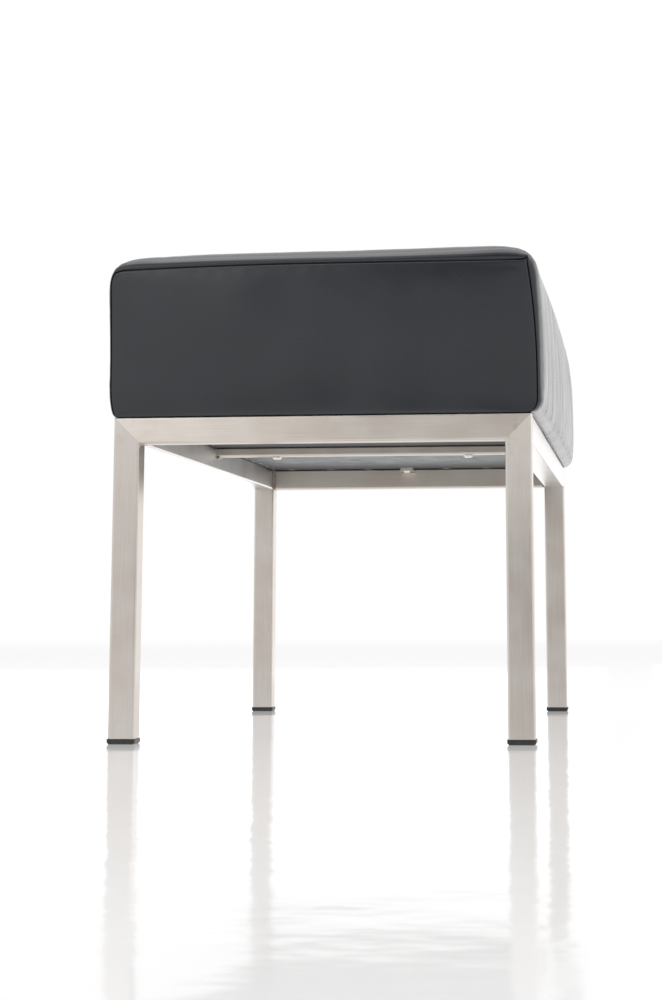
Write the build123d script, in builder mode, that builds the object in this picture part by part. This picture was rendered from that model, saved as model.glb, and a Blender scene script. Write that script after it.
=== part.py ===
"""Two-seat bench: a welded frame of square stainless tube under a thick upholstered seat.

X runs along the bench, Y from the front long side (minus) to the rear one (plus), Z up.
The origin is on the floor at the middle of the footprint. All lengths are in millimetres.
"""

from build123d import *
import math
import os

os.makedirs("parts", exist_ok=True)

# Bench as a whole
bench_length = 800.0
bench_depth = 400.0
frame_height = 305.0

# Square tube of the legs and rails
tube_side = 25.0
tube_wall = 1.5
tube_corner = 2.2

# Flat tube across the middle of the frame
bar_width = 20.0
bar_height = 10.0
bar_wall = 1.5
bar_corner = 2.0

# Steel tabs welded inside the end rails, level with the frame top
tab_width = 18.0
tab_reach = 22.0
tab_thickness = 3.0
tab_corner = 4.0
tab_hole_from_rail = 14.0

# Plastic caps in the foot of each leg
cap_flange = 3.3
cap_chamfer = 1.7
cap_overhang = 1.0
cap_corner = 2.5
cap_plug_side = 17.0
cap_plug_height = 16.0
cap_fin_thickness = 1.2
cap_fin_spacing = 4.0
cap_fin_gap = 0.1
cap_fin_count = 3

# Weld beads
weld_leg = 2.6
weld_bow = 0.4

# Screws that hold the seat board from below
screw_diameter = 5.0
screw_tip = 4.0
bar_screw_length = 22.0
tab_screw_length = 16.0
screw_head_diameter = 11.0
screw_head_height = 3.3
screw_head_rim = 1.2
screw_slot_length = 5.4
screw_slot_width = 1.2
screw_slot_depth = 1.4
screw_hole_clearance = 0.5
pilot_clearance = 0.1
bar_screw_spacing = 216.0

# Seat board, its hem and the cloth under it
dust_cover_thickness = 0.5
dust_cover_edge = 8.0
skin = 1.5
hem_reach = 32.0
hem_gap = 1.0
board_thickness = 15.0
fit_gap = 0.3

# Cushion outline near its ends, measured outwards from the footprint and up from the cover's
# lower edge: out of the tuck at the belly, up to the shoulder, over the roll and along the crown
belly_height = 18.0
belly_out = 6.0
shoulder_height = 134.5
shoulder_out = 6.5
roll_height = 157.0
roll_in = 18.0
tuck_bow = 3.0
side_bow = 2.5
shoulder_bow = 6.3
crown_bow = 2.0

# What the long sides and the crown gain at mid-length
length_bow = 2.5
crown_gain = 1.0

# The same outline along the end seams, where the main panel meets the end panels
seam_belly_height = 18.0
seam_belly_out = 2.2
seam_shoulder_height = 136.0
seam_shoulder_in = 2.0
seam_height = 144.0
seam_roll_in = 6.5
seam_tuck_bow = 1.0
seam_side_bow = 2.5
seam_shoulder_bow = 1.8
seam_crown_bow = 0.6

# Rounding from the end seams to the top and sides
end_round = 30.0
end_round_steps = 3

# Channels sewn across the seat: each pair of pillow shares is a place along one pillow, as a
# share of its length, and how much of the channel's depth is left there
channel_pitch = 80.0
channel_depth = 2.6
side_channel_share = 0.5
low_channel_share = 0.3
pillow_shares = ((0, 1), (0.27, 0.1), (0.73, 0.1))

# End panels
panel_dome = 6.0
panel_station_shares = (-1, 0, 1)

# Length by which a cutting body runs past what it cuts
overrun = 2.0

# Sizes that follow from the above
half_length = bench_length / 2
half_depth = bench_depth / 2
round_start = half_length - end_round
foot_height = cap_flange + cap_chamfer
rail_bottom = frame_height - tube_side
tube_inside = tube_side - 2 * tube_wall
clear_length = bench_length - 2 * tube_side
clear_depth = bench_depth - 2 * tube_side
bar_bottom = frame_height - bar_height
tab_bottom = frame_height - tab_thickness
tab_hole_x = clear_length / 2 - tab_hole_from_rail
cushion_base = frame_height + dust_cover_thickness
board_bottom = cushion_base + skin
board_top = board_bottom + board_thickness
channel_count = round(bench_length / channel_pitch) - 1
channel_step = bench_length / (channel_count + 1)
panel_widest = half_depth + seam_belly_out
hem_width = hem_reach - skin / 2


def save(part, label):
    """Label a finished piece and write its STEP file."""
    part.label = label
    export_step(part, f"parts/{label}.step")


def make_tube(start, length, width, height, wall, corner):
    """Tube with rounded edges outside, extruded from the start plane along its normal."""
    with BuildPart() as tube:
        with BuildSketch(start):
            RectangleRounded(width, height, corner)
            Rectangle(width - 2 * wall, height - 2 * wall, mode=Mode.SUBTRACT)
        extrude(amount=length)
    return tube.part


def mitre_plane(end_y):
    """Plane at 45 degrees through a top corner of an end frame, facing the leg."""
    return Plane((0, end_y * half_depth, frame_height), x_dir=(1, 0, 0), z_dir=(0, end_y, -1))


def make_leg(end_x, end_y):
    """Leg tube from its foot cap up to the mitre under the end rail."""
    centre_x = end_x * (half_length - tube_side / 2)
    centre_y = end_y * (half_depth - tube_side / 2)
    foot = Plane((centre_x, centre_y, foot_height))
    with BuildPart() as leg:
        add(make_tube(foot, frame_height - foot_height, tube_side, tube_side, tube_wall, tube_corner))
        split(bisect_by=mitre_plane(end_y), keep=Keep.TOP)
    return leg.part


def make_end_rail(end_x):
    """Rail over two legs, mitred at both ends."""
    centre_x = end_x * (half_length - tube_side / 2)
    start = Plane((centre_x, -half_depth, frame_height - tube_side / 2), x_dir=(1, 0, 0), z_dir=(0, 1, 0))
    with BuildPart() as rail:
        add(make_tube(start, bench_depth, tube_side, tube_side, tube_wall, tube_corner))
        split(bisect_by=mitre_plane(-1), keep=Keep.BOTTOM)
        split(bisect_by=mitre_plane(1), keep=Keep.BOTTOM)
    return rail.part


def make_side_rail(end_y):
    """Long rail that butts between the two end frames, flush with their outer face."""
    butt = (-clear_length / 2, end_y * (half_depth - tube_side / 2), frame_height - tube_side / 2)
    start = Plane(butt, x_dir=(0, 1, 0), z_dir=(1, 0, 0))
    return make_tube(start, clear_length, tube_side, tube_side, tube_wall, tube_corner)


def make_foot_cap(end_x, end_y):
    """Cap under a leg: chamfered flange and a plug with thin fins inside the tube."""
    centre_x = end_x * (half_length - tube_side / 2)
    centre_y = end_y * (half_depth - tube_side / 2)
    flange_side = tube_side + 2 * cap_overhang
    fin_side = tube_inside - 2 * cap_fin_gap
    with BuildPart() as cap:
        with BuildSketch(Plane((centre_x, centre_y, 0))):
            RectangleRounded(flange_side, flange_side, cap_corner)
        extrude(amount=foot_height)
        chamfer(cap.faces().sort_by(Axis.Z)[0].edges(), cap_chamfer)
        with BuildSketch(Plane((centre_x, centre_y, foot_height))):
            Rectangle(cap_plug_side, cap_plug_side)
        extrude(amount=cap_plug_height)
        for fin in range(cap_fin_count):
            fin_bottom = foot_height + cap_fin_spacing * (fin + 1) - cap_fin_thickness
            with BuildSketch(Plane((centre_x, centre_y, fin_bottom))):
                Rectangle(fin_side, fin_side)
            extrude(amount=cap_fin_thickness)
    return cap.part


def make_tab(end_x):
    """Plate that reaches in from the middle of an end rail, with one screw hole."""
    with BuildPart() as tab:
        with BuildSketch(Plane((end_x * (clear_length - tab_reach) / 2, 0, tab_bottom))):
            Rectangle(tab_reach, tab_width)
        extrude(amount=tab_thickness)
        inner_edges = tab.edges().filter_by(Axis.Z).group_by(Axis.X)[0 if end_x > 0 else -1]
        fillet(inner_edges, tab_corner)
        with BuildSketch(Plane((end_x * tab_hole_x, 0, tab_bottom))):
            Circle(screw_diameter / 2 + screw_hole_clearance)
        extrude(amount=tab_thickness, mode=Mode.SUBTRACT)
    return tab.part


def make_bead(start, length):
    """Fillet weld in a corner; the start plane's x and y point away from the two faces it joins."""
    with BuildPart() as bead:
        with BuildSketch(start):
            with BuildLine():
                Line((weld_leg, 0), (0, 0))
                Line((0, 0), (0, weld_leg))
                SagittaArc((0, weld_leg), (weld_leg, 0), weld_bow)
            make_face()
        extrude(amount=length)
    return bead.part


def make_screw(seat, length, place):
    """Pan-head screw whose head bears up against the level named by seat."""
    head_radius = screw_head_diameter / 2
    shank_radius = screw_diameter / 2
    tip_top = seat + length
    head_bottom = seat - screw_head_height
    flat_radius = head_radius - (screw_head_height - screw_head_rim)
    with BuildPart() as screw:
        with BuildSketch(Plane((*place, 0), x_dir=(1, 0, 0), z_dir=(0, -1, 0))):
            with BuildLine():
                Line((0, tip_top), (shank_radius, tip_top - screw_tip))
                Line((shank_radius, tip_top - screw_tip), (shank_radius, seat))
                Line((shank_radius, seat), (head_radius, seat))
                Line((head_radius, seat), (head_radius, seat - screw_head_rim))
                Line((head_radius, seat - screw_head_rim), (flat_radius, head_bottom))
                Line((flat_radius, head_bottom), (0, head_bottom))
                Line((0, head_bottom), (0, tip_top))
            make_face()
        revolve(axis=Axis((*place, 0), (0, 0, 1)))
        with BuildSketch(Plane((*place, head_bottom))):
            Rectangle(screw_slot_length, screw_slot_width)
            Rectangle(screw_slot_width, screw_slot_length)
        extrude(amount=screw_slot_depth, mode=Mode.SUBTRACT)
    return screw.part


def blend(seam_value, body_value, fullness):
    """Value between the seam outline (0) and the full outline (1)."""
    return seam_value + (body_value - seam_value) * fullness


def cushion_section(station, fullness=1.0, pinch=0.0, inset=0.0):
    """Outline across the seat at one place along it, as a face.

    Fullness goes from the end seam to the whole cushion, pinch is the depth of a sewn channel
    there, and inset moves the whole outline inwards.
    """
    swell = 1 - (station / half_length) ** 2
    belly = blend(seam_belly_out, belly_out + length_bow * swell, fullness)
    shoulder = blend(-seam_shoulder_in, shoulder_out + length_bow * swell, fullness)
    roll = blend(-seam_roll_in, length_bow * swell - roll_in, fullness)
    top_bow = blend(seam_crown_bow, crown_bow + crown_gain * swell, fullness)
    low = (half_depth - inset, cushion_base)
    wide = (
        half_depth + belly - low_channel_share * pinch - inset,
        cushion_base + blend(seam_belly_height, belly_height, fullness),
    )
    high = (
        half_depth + shoulder - side_channel_share * pinch - inset,
        cushion_base + blend(seam_shoulder_height, shoulder_height, fullness) - inset,
    )
    top = (
        half_depth + roll - inset,
        cushion_base + blend(seam_height, roll_height, fullness) - pinch - inset,
    )
    bows = (
        blend(seam_tuck_bow, tuck_bow, fullness),
        blend(seam_side_bow, side_bow, fullness),
        blend(seam_shoulder_bow, shoulder_bow, fullness),
    )
    corners = (low, wide, high, top)
    with BuildSketch(Plane.YZ.offset(station)) as section:
        with BuildLine():
            for first, second, bow in zip(corners, corners[1:], bows):
                SagittaArc(first, second, -bow)
            SagittaArc(top, (-top[0], top[1]), -top_bow)
            for first, second, bow in zip(corners[::-1], corners[-2::-1], bows[::-1]):
                SagittaArc((-first[0], first[1]), (-second[0], second[1]), -bow)
            Line((-low[0], low[1]), low)
        make_face()
    return section.sketch


def dome_section(across):
    """Slice of the left end panel's bulge at one place across the seat, as a face."""
    swell = panel_dome * (1 - (across / (panel_widest + overrun)) ** 2)
    low = cushion_base
    high = cushion_base + seam_height
    with BuildSketch(Plane.XZ.offset(-across)) as slice_sketch:
        with BuildLine():
            Polyline((-half_length, low), (skin - half_length, low), (skin - half_length, high))
            Line((skin - half_length, high), (-half_length, high))
            SagittaArc((-half_length, high), (-half_length, low), -swell)
        make_face()
    return slice_sketch.sketch


def plain_stations(end_station):
    """Places along the seat, each with its fullness, for the surfaces under the cover."""
    return [(-end_station, 0.0), (-round_start, 1.0), (0.0, 1.0), (round_start, 1.0), (end_station, 0.0)]


def cover_stations():
    """Places along the cover, each with its fullness and its pinch: an end, the pillows, an end."""
    left_end = []
    for step in range(end_round_steps + 1):
        angle = math.pi / 2 * step / end_round_steps
        left_end.append((-round_start - end_round * math.cos(angle), math.sin(angle), 0.0))
    pillows = []
    for pillow in range(channel_count + 1):
        for place_share, depth_share in pillow_shares:
            station = (pillow + place_share) * channel_step - half_length
            if abs(station) < round_start:
                pillows.append((station, 1.0, channel_depth * depth_share))
    right_end = [(-station, fullness, pinch) for station, fullness, pinch in left_end[::-1]]
    return left_end + pillows + right_end


# Frame
for end_x, side_name in ((-1, "left"), (1, "right")):
    save(make_end_rail(end_x), f"end_rail_{side_name}")
    save(make_tab(end_x), f"seat_tab_{side_name}")
    for end_y, long_name in ((-1, "front"), (1, "rear")):
        save(make_leg(end_x, end_y), f"leg_{side_name}_{long_name}")
        save(make_foot_cap(end_x, end_y), f"foot_cap_{side_name}_{long_name}")

for end_y, long_name in ((-1, "front"), (1, "rear")):
    save(make_side_rail(end_y), f"side_rail_{long_name}")

# Cross bar between the long rails, with two screw holes through it
bar_start = Plane((0, -clear_depth / 2, frame_height - bar_height / 2), x_dir=(1, 0, 0), z_dir=(0, 1, 0))
with BuildPart() as cross_bar:
    add(make_tube(bar_start, clear_depth, bar_width, bar_height, bar_wall, bar_corner))
    with BuildSketch(Plane.XY.offset(bar_bottom)):
        with GridLocations(bar_screw_spacing, bar_screw_spacing, 1, 2):
            Circle(screw_diameter / 2 + screw_hole_clearance)
    extrude(amount=bar_height, mode=Mode.SUBTRACT)
save(cross_bar.part, "cross_bar")

# Weld beads: upright ones in the four inner corners, level ones under the cross bar and the tabs
with BuildPart() as frame_welds:
    for end_x in (-1, 1):
        for end_y in (-1, 1):
            corner = (end_x * clear_length / 2, end_y * clear_depth / 2, rail_bottom)
            if end_x * end_y > 0:
                add(make_bead(Plane(corner, x_dir=(-end_x, 0, 0), z_dir=(0, 0, 1)), tube_side))
            else:
                add(make_bead(Plane(corner, x_dir=(0, -end_y, 0), z_dir=(0, 0, 1)), tube_side))
    for end_y in (-1, 1):
        corner = (end_y * bar_width / 2, end_y * clear_depth / 2, bar_bottom)
        add(make_bead(Plane(corner, x_dir=(0, 0, -1), z_dir=(-end_y, 0, 0)), bar_width))
    for end_x in (-1, 1):
        corner = (end_x * clear_length / 2, -end_x * tab_width / 2, tab_bottom)
        add(make_bead(Plane(corner, x_dir=(0, 0, -1), z_dir=(0, end_x, 0)), tab_width))
save(frame_welds.part, "frame_welds")

# Screws up through the cross bar and through the tabs
with BuildPart() as cross_bar_screws:
    for end_y in (-1, 1):
        add(make_screw(bar_bottom, bar_screw_length, (0, end_y * bar_screw_spacing / 2)))
save(cross_bar_screws.part, "cross_bar_screws")

with BuildPart() as tab_screws:
    for end_x in (-1, 1):
        add(make_screw(tab_bottom, tab_screw_length, (end_x * tab_hole_x, 0)))
save(tab_screws.part, "tab_screws")

# Cloth that closes the underside, between the frame and the hem of the cover
with BuildPart() as dust_cover:
    with BuildSketch(Plane.XY.offset(frame_height)):
        Rectangle(bench_length - 2 * dust_cover_edge, bench_depth - 2 * dust_cover_edge)
        with GridLocations(bar_screw_spacing, bar_screw_spacing, 1, 2):
            Circle(screw_diameter / 2 + screw_hole_clearance, mode=Mode.SUBTRACT)
        with GridLocations(2 * tab_hole_x, tab_width, 2, 1):
            Circle(screw_diameter / 2 + screw_hole_clearance, mode=Mode.SUBTRACT)
    extrude(amount=dust_cover_thickness)
save(dust_cover.part, "dust_cover")

# Board that carries the foam, with a pilot hole over each screw
with BuildPart() as seat_board:
    with BuildSketch(Plane.XY.offset(board_bottom)):
        Rectangle(bench_length - 2 * (skin + fit_gap), bench_depth - 2 * (skin + fit_gap))
    extrude(amount=board_thickness)
    with BuildSketch(Plane.XY.offset(board_bottom)):
        with GridLocations(bar_screw_spacing, bar_screw_spacing, 1, 2):
            Circle(screw_diameter / 2 + pilot_clearance)
    extrude(amount=bar_bottom + bar_screw_length + pilot_clearance - board_bottom, mode=Mode.SUBTRACT)
    with BuildSketch(Plane.XY.offset(board_bottom)):
        with GridLocations(2 * tab_hole_x, tab_width, 2, 1):
            Circle(screw_diameter / 2 + pilot_clearance)
    extrude(amount=tab_bottom + tab_screw_length + pilot_clearance - board_bottom, mode=Mode.SUBTRACT)
save(seat_board.part, "seat_board")

# Foam on the board, inside the cover
with BuildPart() as foam_core:
    foam_sections = []
    for station, fullness in plain_stations(half_length - skin - fit_gap):
        valley = channel_depth * fullness
        foam_sections.append(cushion_section(station, fullness, pinch=valley, inset=skin + fit_gap))
    loft(sections=foam_sections, ruled=True)
    split(bisect_by=Plane.XY.offset(board_top), keep=Keep.TOP)
save(foam_core.part, "foam_core")

# Main panel of the cover: top and long sides in one piece, sewn across into shallow channels,
# rounded at both ends down to the seams and turned under the board along its lower edges
with BuildPart() as cover_main_panel:
    outer_sections = []
    for station, fullness, pinch in cover_stations():
        outer_sections.append(cushion_section(station, fullness, pinch))
    loft(sections=outer_sections, ruled=True)
    inner_sections = []
    for station, fullness in plain_stations(half_length):
        valley = channel_depth * fullness
        inner_sections.append(cushion_section(station, fullness, pinch=valley, inset=skin))
    loft(sections=inner_sections, ruled=True, mode=Mode.SUBTRACT)
    with BuildSketch(Plane.XY.offset(cushion_base)):
        with GridLocations(bench_length, bench_depth - hem_reach - skin / 2, 1, 2):
            Rectangle(bench_length - 2 * (skin + hem_gap), hem_width)
    extrude(amount=skin)
save(cover_main_panel.part, "cover_main_panel")

# End panels: domed outwards inside their seam, and turned under the board between the side hems
seam_outline_plane = -(half_length + panel_dome + overrun)
with BuildPart() as cover_end_panel_left:
    loft(sections=[dome_section(share * panel_widest) for share in panel_station_shares])
    extrude(
        cushion_section(seam_outline_plane, 0.0, inset=skin + fit_gap),
        amount=panel_dome + overrun + skin,
        mode=Mode.INTERSECT,
    )
    with BuildSketch(Plane((-half_length + hem_reach - hem_width / 2, 0, cushion_base))):
        Rectangle(hem_width, bench_depth - 2 * (hem_reach + hem_gap))
    extrude(amount=skin)
save(cover_end_panel_left.part, "cover_end_panel_left")

with BuildPart() as cover_end_panel_right:
    mirror(cover_end_panel_left.part, about=Plane.YZ)
save(cover_end_panel_right.part, "cover_end_panel_right")
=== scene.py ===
import bpy
import numpy as np
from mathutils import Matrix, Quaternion, Vector


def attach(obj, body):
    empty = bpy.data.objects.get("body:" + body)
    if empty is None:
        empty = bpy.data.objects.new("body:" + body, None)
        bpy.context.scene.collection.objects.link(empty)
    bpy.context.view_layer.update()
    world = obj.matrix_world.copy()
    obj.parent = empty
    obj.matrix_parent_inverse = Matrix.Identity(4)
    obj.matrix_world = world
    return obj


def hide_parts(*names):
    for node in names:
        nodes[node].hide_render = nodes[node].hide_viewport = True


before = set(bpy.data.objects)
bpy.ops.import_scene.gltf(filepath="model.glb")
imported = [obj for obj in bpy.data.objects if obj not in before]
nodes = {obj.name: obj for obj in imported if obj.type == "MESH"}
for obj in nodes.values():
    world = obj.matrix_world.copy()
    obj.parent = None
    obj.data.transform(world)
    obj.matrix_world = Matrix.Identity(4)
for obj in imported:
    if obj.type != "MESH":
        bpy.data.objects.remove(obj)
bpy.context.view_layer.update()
scene = bpy.context.scene
mm = 0.001
print("frame loaded:", len(nodes), "CAD nodes")


def hexColour(code):  # sRGB hex to the linear colour that a socket takes
    parts = [int(code[i:i + 2], 16) / 255 for i in (1, 3, 5)]
    return tuple(p / 12.92 if p <= 0.04045 else ((p + 0.055) / 1.055) ** 2.4 for p in parts) + (1.0,)


def addNode(tree, kind, settings={}, values={}, links={}, stops=()):
    # one node with its settings, values and links: a link from a node takes its first output. Stops are
    # for a colour ramp, each a place and an sRGB hex colour
    node = tree.nodes.new("ShaderNode" + kind)
    for name, value in settings.items():
        setattr(node, name, value)
    for socket, value in values.items():
        node.inputs[socket].default_value = value
    for socket, source in links.items():
        tree.links.new(source.outputs[0] if hasattr(source, "outputs") else source, node.inputs[socket])
    for _ in stops[2:]:  # a new ramp has two
        node.color_ramp.elements.new(0.5)
    for k, (place, code) in enumerate(stops):
        node.color_ramp.elements[k].position = place
        node.color_ramp.elements[k].color = hexColour(code)
    return node


def spans(start, end, low=0.0, high=1.0):  # values of a map range: start becomes low, end becomes high
    return {"From Min": start, "From Max": end, "To Min": low, "To Max": high}


def newMaterial(name):  # an empty material, its tree and the object coordinates that its patterns use
    material = bpy.data.materials.new(name)
    material.use_nodes = True
    tree = material.node_tree
    tree.nodes.clear()
    return material, tree, addNode(tree, "TexCoord").outputs["Object"]


def finishMaterial(material, shader):
    addNode(material.node_tree, "OutputMaterial", links={"Surface": shader})
    return material


def meshPiece(name, points, faces, material, smooth=True):
    # points in millimetres, faces as one list of corner indices each
    mesh = bpy.data.meshes.new(name)
    mesh.from_pydata((points * mm).tolist(), [], faces)
    mesh.polygons.foreach_set("use_smooth", np.full(len(faces), smooth))
    mesh.materials.append(material)
    mesh.update()
    piece = bpy.data.objects.new(name, mesh)
    scene.collection.objects.link(piece)
    return piece


cameraSetup = {
    "place": (-2.51020, -0.31030, 0.11347),
    "forward": (0.97801, 0.09959, 0.18323),
    "roll": -0.0033,
    "lens": 80.71,
    "shift": (-0.089, -0.298),  # the photo is cut from a wider, higher frame, so its legs stand upright
}
cameraData = bpy.data.cameras.new("photoCamera")
cameraData.sensor_width = 36.0
cameraData.lens = cameraSetup["lens"]
cameraData.shift_x, cameraData.shift_y = cameraSetup["shift"]
cameraData.clip_start = 0.05
cameraData.clip_end = 100.0
camera = bpy.data.objects.new("photoCamera", cameraData)
camera.location = cameraSetup["place"]
camera.rotation_mode = "QUATERNION"
aimed = Vector(cameraSetup["forward"]).to_track_quat("-Z", "Y")
camera.rotation_quaternion = aimed @ Quaternion((0, 0, 1), cameraSetup["roll"])
scene.collection.objects.link(camera)
scene.camera = camera
print("camera set")


steelLook = {
    "lineSpacing": 0.8,  # real brush lines are 0.1 to 0.3 mm apart, drawn coarser so that they show
    "lineLength": 70.0,
    "clouding": 45.0,  # size of the soft patches left by the abrasive belt
    "mitreLine": 0.35,  # width of the ground-off weld on the corner joints
    "mitreShade": 0.45,
    "tintStart": 2.0, "tintReach": 34.0,  # how far the weld's heat has dulled the tube
    "tintPatch": 11.1,
    "tintShade": 0.35,
    "outerFace": 200.0,  # the mitres start where this side
    "frameTop": 305.0,  # and this top edge of the end frames meet
    "roughness": 0.31,
}


def brushedSteel(name, axis, light, dark):
    # austenitic stainless tube, belt brushed along its length: a soft sheen stretched across
    # the brush lines, faint lines along the tube, and a trace of the weld at the mitres
    s = steelLook
    material, tree, place = newMaterial(name)
    across, along = 1000 / s["lineSpacing"], 1000 / s["lineLength"]
    stretch = tuple(along if letter == axis else across for letter in "XYZ")
    turned = addNode(tree, "Mapping", values={"Scale": stretch}, links={"Vector": place})
    lines = addNode(tree, "TexNoise", values={"Scale": 1.0, "Detail": 3.0, "Roughness": 0.65},
                    links={"Vector": turned})
    clouds = addNode(tree, "TexNoise", values={"Scale": 1000 / s["clouding"], "Detail": 4.0},
                     links={"Vector": place})
    tone = addNode(tree, "ValToRGB", links={"Fac": lines}, stops=((0.3, dark), (0.7, light)))
    cloudTone = addNode(tree, "ValToRGB", links={"Fac": clouds},
                        stops=((0.35, "#f7f4f1"), (0.62, "#ffffff")))
    colour = addNode(tree, "Mix", {"data_type": "RGBA", "blend_type": "MULTIPLY"}, {"Factor": 1.0},
                     {"A": tone, "B": cloudTone})
    if axis in "YZ":
        # distance from the 45 degree joint, measured from the top edge and from the outer face
        split = addNode(tree, "SeparateXYZ", links={"Vector": place})
        depth = addNode(tree, "Math", {"operation": "ABSOLUTE"}, links={0: split.outputs["Y"]})
        inward = addNode(tree, "Math", {"operation": "SUBTRACT"}, {0: s["outerFace"] * mm}, {1: depth})
        down = addNode(tree, "Math", {"operation": "SUBTRACT"}, {0: s["frameTop"] * mm},
                       {1: split.outputs["Z"]})
        offset = addNode(tree, "Math", {"operation": "SUBTRACT"}, {}, {0: inward, 1: down})
        gap = addNode(tree, "Math", {"operation": "ABSOLUTE"}, links={0: offset})
        line = addNode(tree, "MapRange", values=spans(0.0, s["mitreLine"] * mm, s["mitreShade"], 0.0),
                       links={"Value": gap})
        tint = addNode(tree, "MapRange", {"interpolation_type": "SMOOTHSTEP"},
                       spans(s["tintStart"] * mm, s["tintReach"] * mm, s["tintShade"], 0.0), {"Value": gap})
        patch = addNode(tree, "TexNoise", links={"Vector": place},
                        values={"Scale": 1000 / s["tintPatch"], "Detail": 5.0, "Roughness": 0.6})
        blotch = addNode(tree, "MapRange", values=spans(0.52, 0.68), links={"Value": patch})  # its peaks
        stain = addNode(tree, "Math", {"operation": "MULTIPLY"}, {}, {0: tint, 1: blotch})
        stained = addNode(tree, "Mix", {"data_type": "RGBA"}, {"B": hexColour("#b4a89a")},
                          {"Factor": stain, "A": colour.outputs[2]})
        colour = addNode(tree, "Mix", {"data_type": "RGBA"}, {"B": hexColour("#7d766f")},
                         {"Factor": line, "A": stained.outputs[2]})
    gloss = addNode(tree, "MapRange", values=spans(0.3, 0.7, s["roughness"] - 0.02, s["roughness"] + 0.04),
                    links={"Value": clouds})
    relief = addNode(tree, "Bump", values={"Strength": 0.35, "Distance": 0.04 * mm}, links={"Height": lines})
    runs = addNode(tree, "Tangent", {"direction_type": "RADIAL", "axis": axis})
    shader = addNode(tree, "BsdfPrincipled", values={"Metallic": 1.0, "Anisotropic": 0.85},
                     links={"Base Color": colour.outputs[2], "Roughness": gloss, "Normal": relief,
                            "Tangent": runs})
    return finishMaterial(material, shader)


def millSteel(name, light, dark, roughness, grain):
    # hot-rolled plate and fasteners as they leave the mill or the plating bath: greyer and duller
    # than the brushed tube, with a fine blotchy grain
    material, tree, place = newMaterial(name)
    blotches = addNode(tree, "TexNoise", values={"Scale": 1000 / grain, "Detail": 5.0, "Roughness": 0.6},
                       links={"Vector": place})
    tone = addNode(tree, "ValToRGB", links={"Fac": blotches}, stops=((0.35, dark), (0.65, light)))
    gloss = addNode(tree, "MapRange", values=spans(0.3, 0.7, roughness - 0.08, roughness + 0.08),
                    links={"Value": blotches})
    relief = addNode(tree, "Bump", values={"Strength": 0.3, "Distance": 0.05 * mm},
                     links={"Height": blotches})
    shader = addNode(tree, "BsdfPrincipled", values={"Metallic": 1.0},
                     links={"Base Color": tone, "Roughness": gloss, "Normal": relief})
    return finishMaterial(material, shader)


# painted reflection: the slight differences in tone between these three stand in for the contrast that their
# differently stretched reflections give between rails, side rails and legs
tubeAlongX = brushedSteel("brushedStainlessAlongX", "X", "#dad9d8", "#cecdcc")
tubeAlongY = brushedSteel("brushedStainlessAlongY", "Y", "#ddd6cf", "#d1cac2")
tubeUpright = brushedSteel("brushedStainlessUpright", "Z", "#dfd9d4", "#d3cdc7")
tabSteel = millSteel("millFinishPlate", "#f0ede8", "#d6d2cb", 0.34, 5.0)
weldSteel = millSteel("groundWeldBead", "#b5ada3", "#8c847b", 0.5, 2.2)
screwSteel = millSteel("zincPlatedScrew", "#f4f2ee", "#dad8d2", 0.28, 3.0)
stapleSteel = millSteel("galvanisedStapleWire", "#eceae5", "#cfccc5", 0.3, 2.0)
print("steel ready")


def mouldedCap():
    # injection-moulded black polypropylene: spark-eroded satin, its texture about 0.7 mm, with a few
    # pale scuffs of about 4 mm
    material, tree, place = newMaterial("mouldedBlackPolypropylene")
    texture = addNode(tree, "TexNoise", values={"Scale": 1000 / 0.7, "Detail": 2.0},
                      links={"Vector": place})
    scuffs = addNode(tree, "TexNoise", values={"Scale": 1000 / 3.85, "Detail": 6.0, "Roughness": 0.7},
                     links={"Vector": place})
    tone = addNode(tree, "ValToRGB", links={"Fac": scuffs},
                   stops=((0.45, "#262423"), (0.6, "#2f2d2b"), (0.72, "#4a4744")))
    relief = addNode(tree, "Bump", values={"Strength": 0.5, "Distance": 0.06 * mm}, links={"Height": texture})
    shader = addNode(tree, "BsdfPrincipled", values={"Roughness": 0.42, "IOR": 1.49},
                     links={"Base Color": tone, "Normal": relief})
    return finishMaterial(material, shader)


def spunbondCloth():
    # thin non-woven underside cloth: matted fibres, mottled grey, with a fine dot embossed every 2.2 mm
    material, tree, place = newMaterial("spunbondUndersideCloth")
    fibres = addNode(tree, "TexNoise",
                     values={"Scale": 1000 / 2.5, "Detail": 6.0, "Roughness": 0.75, "Distortion": 0.8},
                     links={"Vector": place})
    mottle = addNode(tree, "TexNoise", values={"Scale": 1000 / 28, "Detail": 3.0}, links={"Vector": place})
    dots = addNode(tree, "TexVoronoi", values={"Scale": 1000 / 2.2, "Randomness": 0.15},
                   links={"Vector": place})
    blend = addNode(tree, "Mix", {"data_type": "FLOAT"}, {"Factor": 0.5}, {"A": fibres, "B": mottle})
    tone = addNode(tree, "ValToRGB", links={"Fac": blend},
                   stops=((0.36, "#666a6a"), (0.5, "#858989"), (0.64, "#a5a9a9")))
    # painted shade: the tone darkens along the rails, widest at the two ends, and on both sides of the cross
    # bar. Each band runs between two distances from the middle, in metres, and ends at a share of the
    # unshaded tone
    split = addNode(tree, "SeparateXYZ", links={"Vector": place})
    for letter, start, end, deepest in (("X", 0.2, 0.36, 0.03), ("Y", 0.145, 0.175, 0.5),
                                        ("X", 0.15, 0.04, 0.05)):
        far = addNode(tree, "Math", {"operation": "ABSOLUTE"}, links={0: split.outputs[letter]})
        # share of the tone that the painted shade leaves
        unshadedShare = addNode(tree, "MapRange", {"interpolation_type": "SMOOTHSTEP"},
                        spans(start, end, 1.0, deepest), {"Value": far})
        tone = addNode(tree, "VectorMath", {"operation": "SCALE"}, {}, {0: tone, "Scale": unshadedShare})
    relief = addNode(tree, "Bump", values={"Strength": 0.6, "Distance": 0.15 * mm}, links={"Height": dots})
    shader = addNode(tree, "BsdfPrincipled", values={"Roughness": 0.85, "Sheen Weight": 0.2},
                     links={"Base Color": tone, "Normal": relief})
    return finishMaterial(material, shader)


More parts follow.
